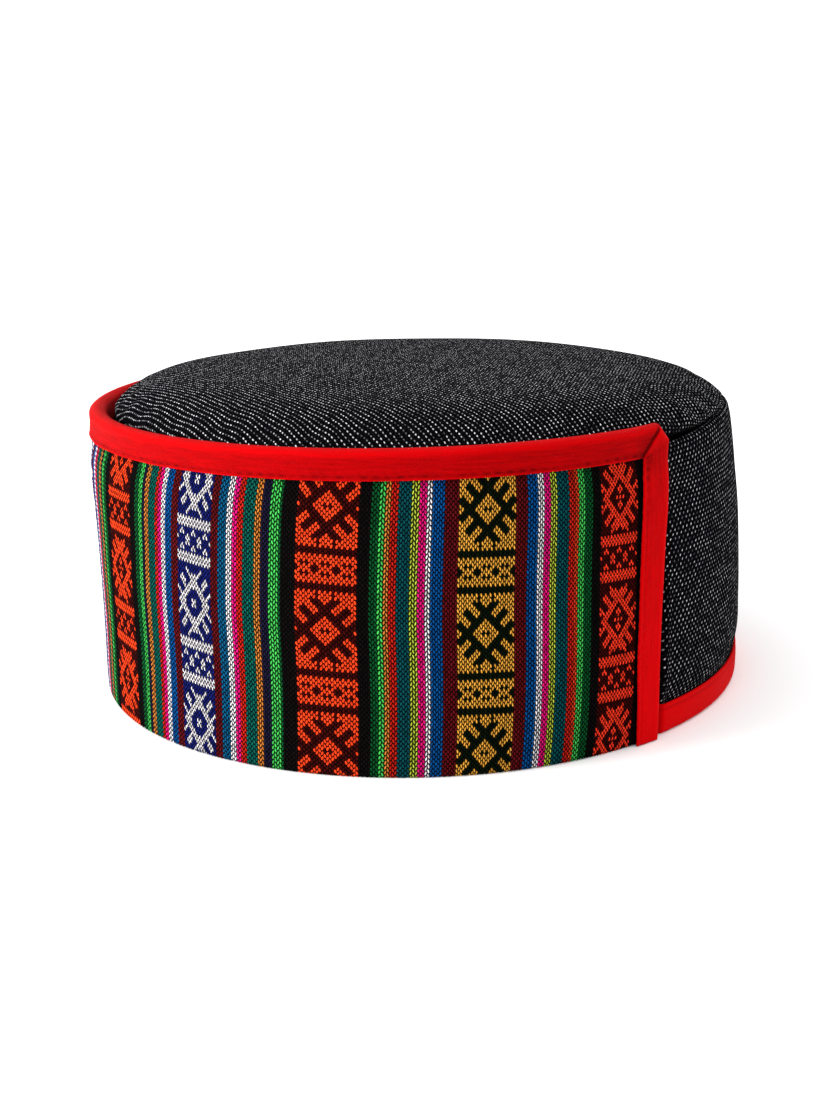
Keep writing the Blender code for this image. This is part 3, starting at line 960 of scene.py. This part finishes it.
def tape_relief(run, across):
    """How far the tape's face stands proud: rolled edges, sunk stitches, puckers and slow waves."""
    edge = 0.14 * bump_at(across, 0.20, 0.12) + 0.12 * bump_at(across, 0.97, 0.05)
    sunk = -(0.06 + 0.16 * stitch_beat(run)) * bump_at(across, STITCH_LINE, STITCH_WIDTH)
    pucker = 0.05 * np.sin(2.0 * math.pi * run / STITCH_STEP + 4.0 * across)
    slow = 0.09 * np.sin(run / 7.3 + 2.0 * across) * np.sin(run / 19.0)
    slow = slow + 0.05 * np.sin(run / 3.1 - 3.0 * across)
    return edge + sunk + pucker * smooth((across - 0.45) / 0.4) + slow * smooth(across / 0.25)


def tape_shade(run, across, stitched):
    """How bright the tape's face is: painted highlights along its edges, and painted shade that makes its
    row of stitches deep red.
    """
    tone = 0.48 + 0.26 * bump_at(across, 0.10, 0.14) + 0.34 * bump_at(across, 0.99, 0.03)
    beat = stitch_beat(run) * (0.6 + 0.4 * np.sin(run / 5.0 + np.sin(run)))
    line = bump_at(across, STITCH_LINE, STITCH_WIDTH) * (0.25 + 0.75 * stitched)
    return tone - (0.06 + 0.32 * beat) * line


def flap_tape(material):
    """Red tape folded over the flap: up one end, along the top and down the other, with mitred corners."""
    half = tape_rows()
    rows = [(row, 1.0) for row in half] + [(row, -1.0) for row in half[-2::-1]]
    lay = tape_lay()
    spine = np.array([at(side * row.edge_angle, FACE_RADIUS, row.edge_height) for row, side in rows])
    run = lengths(spine)
    across, proud = lay[:, 0], lay[:, 1]
    face = proud > -0.5 * FLAP_CLOTH
    points, shades = [], []
    for (row, side), here in zip(rows, run):
        angle = row.edge_angle + across * (row.inner_angle - row.edge_angle)
        height = row.edge_height + across * (row.inner_height - row.edge_height)
        lift = (proud > 0.0) * (tape_relief(here, across) + row.lift * smooth(across / 0.3))
        points.append(at(side * angle, curve(FLAP_PROFILE, height) + proud + lift, height))
        # The painted shade in the stitches shows most along the flap's top
        stitched = smooth((14.0 - np.abs(row.edge_height - TAPE_TOP_HEIGHT - 10.0)) / 4.0)
        tone = tape_shade(here, across, stitched) + row.tone * smooth(across / 0.2)
        shades.append(np.where(face, tone, 0.6))
    points = np.array(points)
    girth = lengths(points[len(points) // 2], closed=True)
    faces = quads(len(points), len(lay), wrap_columns=True).tolist()
    first = list(range(len(lay)))[::-1]
    last = list(range((len(points) - 1) * len(lay), len(points) * len(lay)))
    uv = np.stack(np.broadcast_arrays(run[:, None], girth[None, :]), axis=-1)
    corners = np.concatenate([corner_values(uv), uv[0, -2::-1], uv[-1, :-1]])
    made = piece("flap_tape", points, faces + [first, last], material, "band_binding",
                 corners, shades)


# The stage: its floor's size, and its key light's place, target and size, are in metres
FLOOR_SIZE = 12.0
FLOOR_WHITE = 0.97
SKY_STRENGTH = 1.36
KEY_PLACE, KEY_TARGET = (0.2, -1.8, 0.5), (0.0, 0.0, 0.05)
KEY_SIZE, KEY_POWER = 0.9, 54.0


def key_light():
    """One large soft light at the camera's left."""
    data = bpy.data.lights.new("key", "AREA")
    data.shape = "DISK"
    data.size = KEY_SIZE
    data.energy = KEY_POWER
    lamp = bpy.data.objects.new("key", data)
    bpy.context.scene.collection.objects.link(lamp)
    lamp.location = KEY_PLACE
    lamp.rotation_euler = (Vector(KEY_TARGET) - Vector(KEY_PLACE)).to_track_quat("-Z", "Y").to_euler()


def stage():
    """A white floor under a white sky, and the key light."""
    bpy.ops.mesh.primitive_plane_add(size=FLOOR_SIZE, location=(0.0, 0.0, 0.0))
    floor = bpy.context.object
    floor.name = "floor"
    material = bpy.data.materials.new("floor")
    material.use_nodes = True
    shader = material.node_tree.nodes["Principled BSDF"]
    shader.inputs["Base Color"].default_value = (FLOOR_WHITE, FLOOR_WHITE, FLOOR_WHITE, 1.0)
    shader.inputs["Roughness"].default_value = 0.9
    shader.inputs["Specular IOR Level"].default_value = 0.0
    floor.data.materials.append(material)
    world = bpy.data.worlds.new("world")
    world.use_nodes = True
    sky = world.node_tree.nodes["Background"]
    sky.inputs["Color"].default_value = (1.0, 1.0, 1.0, 1.0)
    sky.inputs["Strength"].default_value = SKY_STRENGTH
    bpy.context.scene.world = world
    bpy.context.scene.view_settings.view_transform = "Standard"
    key_light()


red = tape_material()
crown_top(tweed_material("tweed_top", TOP_FLECK))
crown_wall(tweed_material("tweed_wall", WALL_FLECK))
rim_tape(red)
flap_wool(wool_material())
flap_lining(lining_material())
flap_tape(red)
stage()
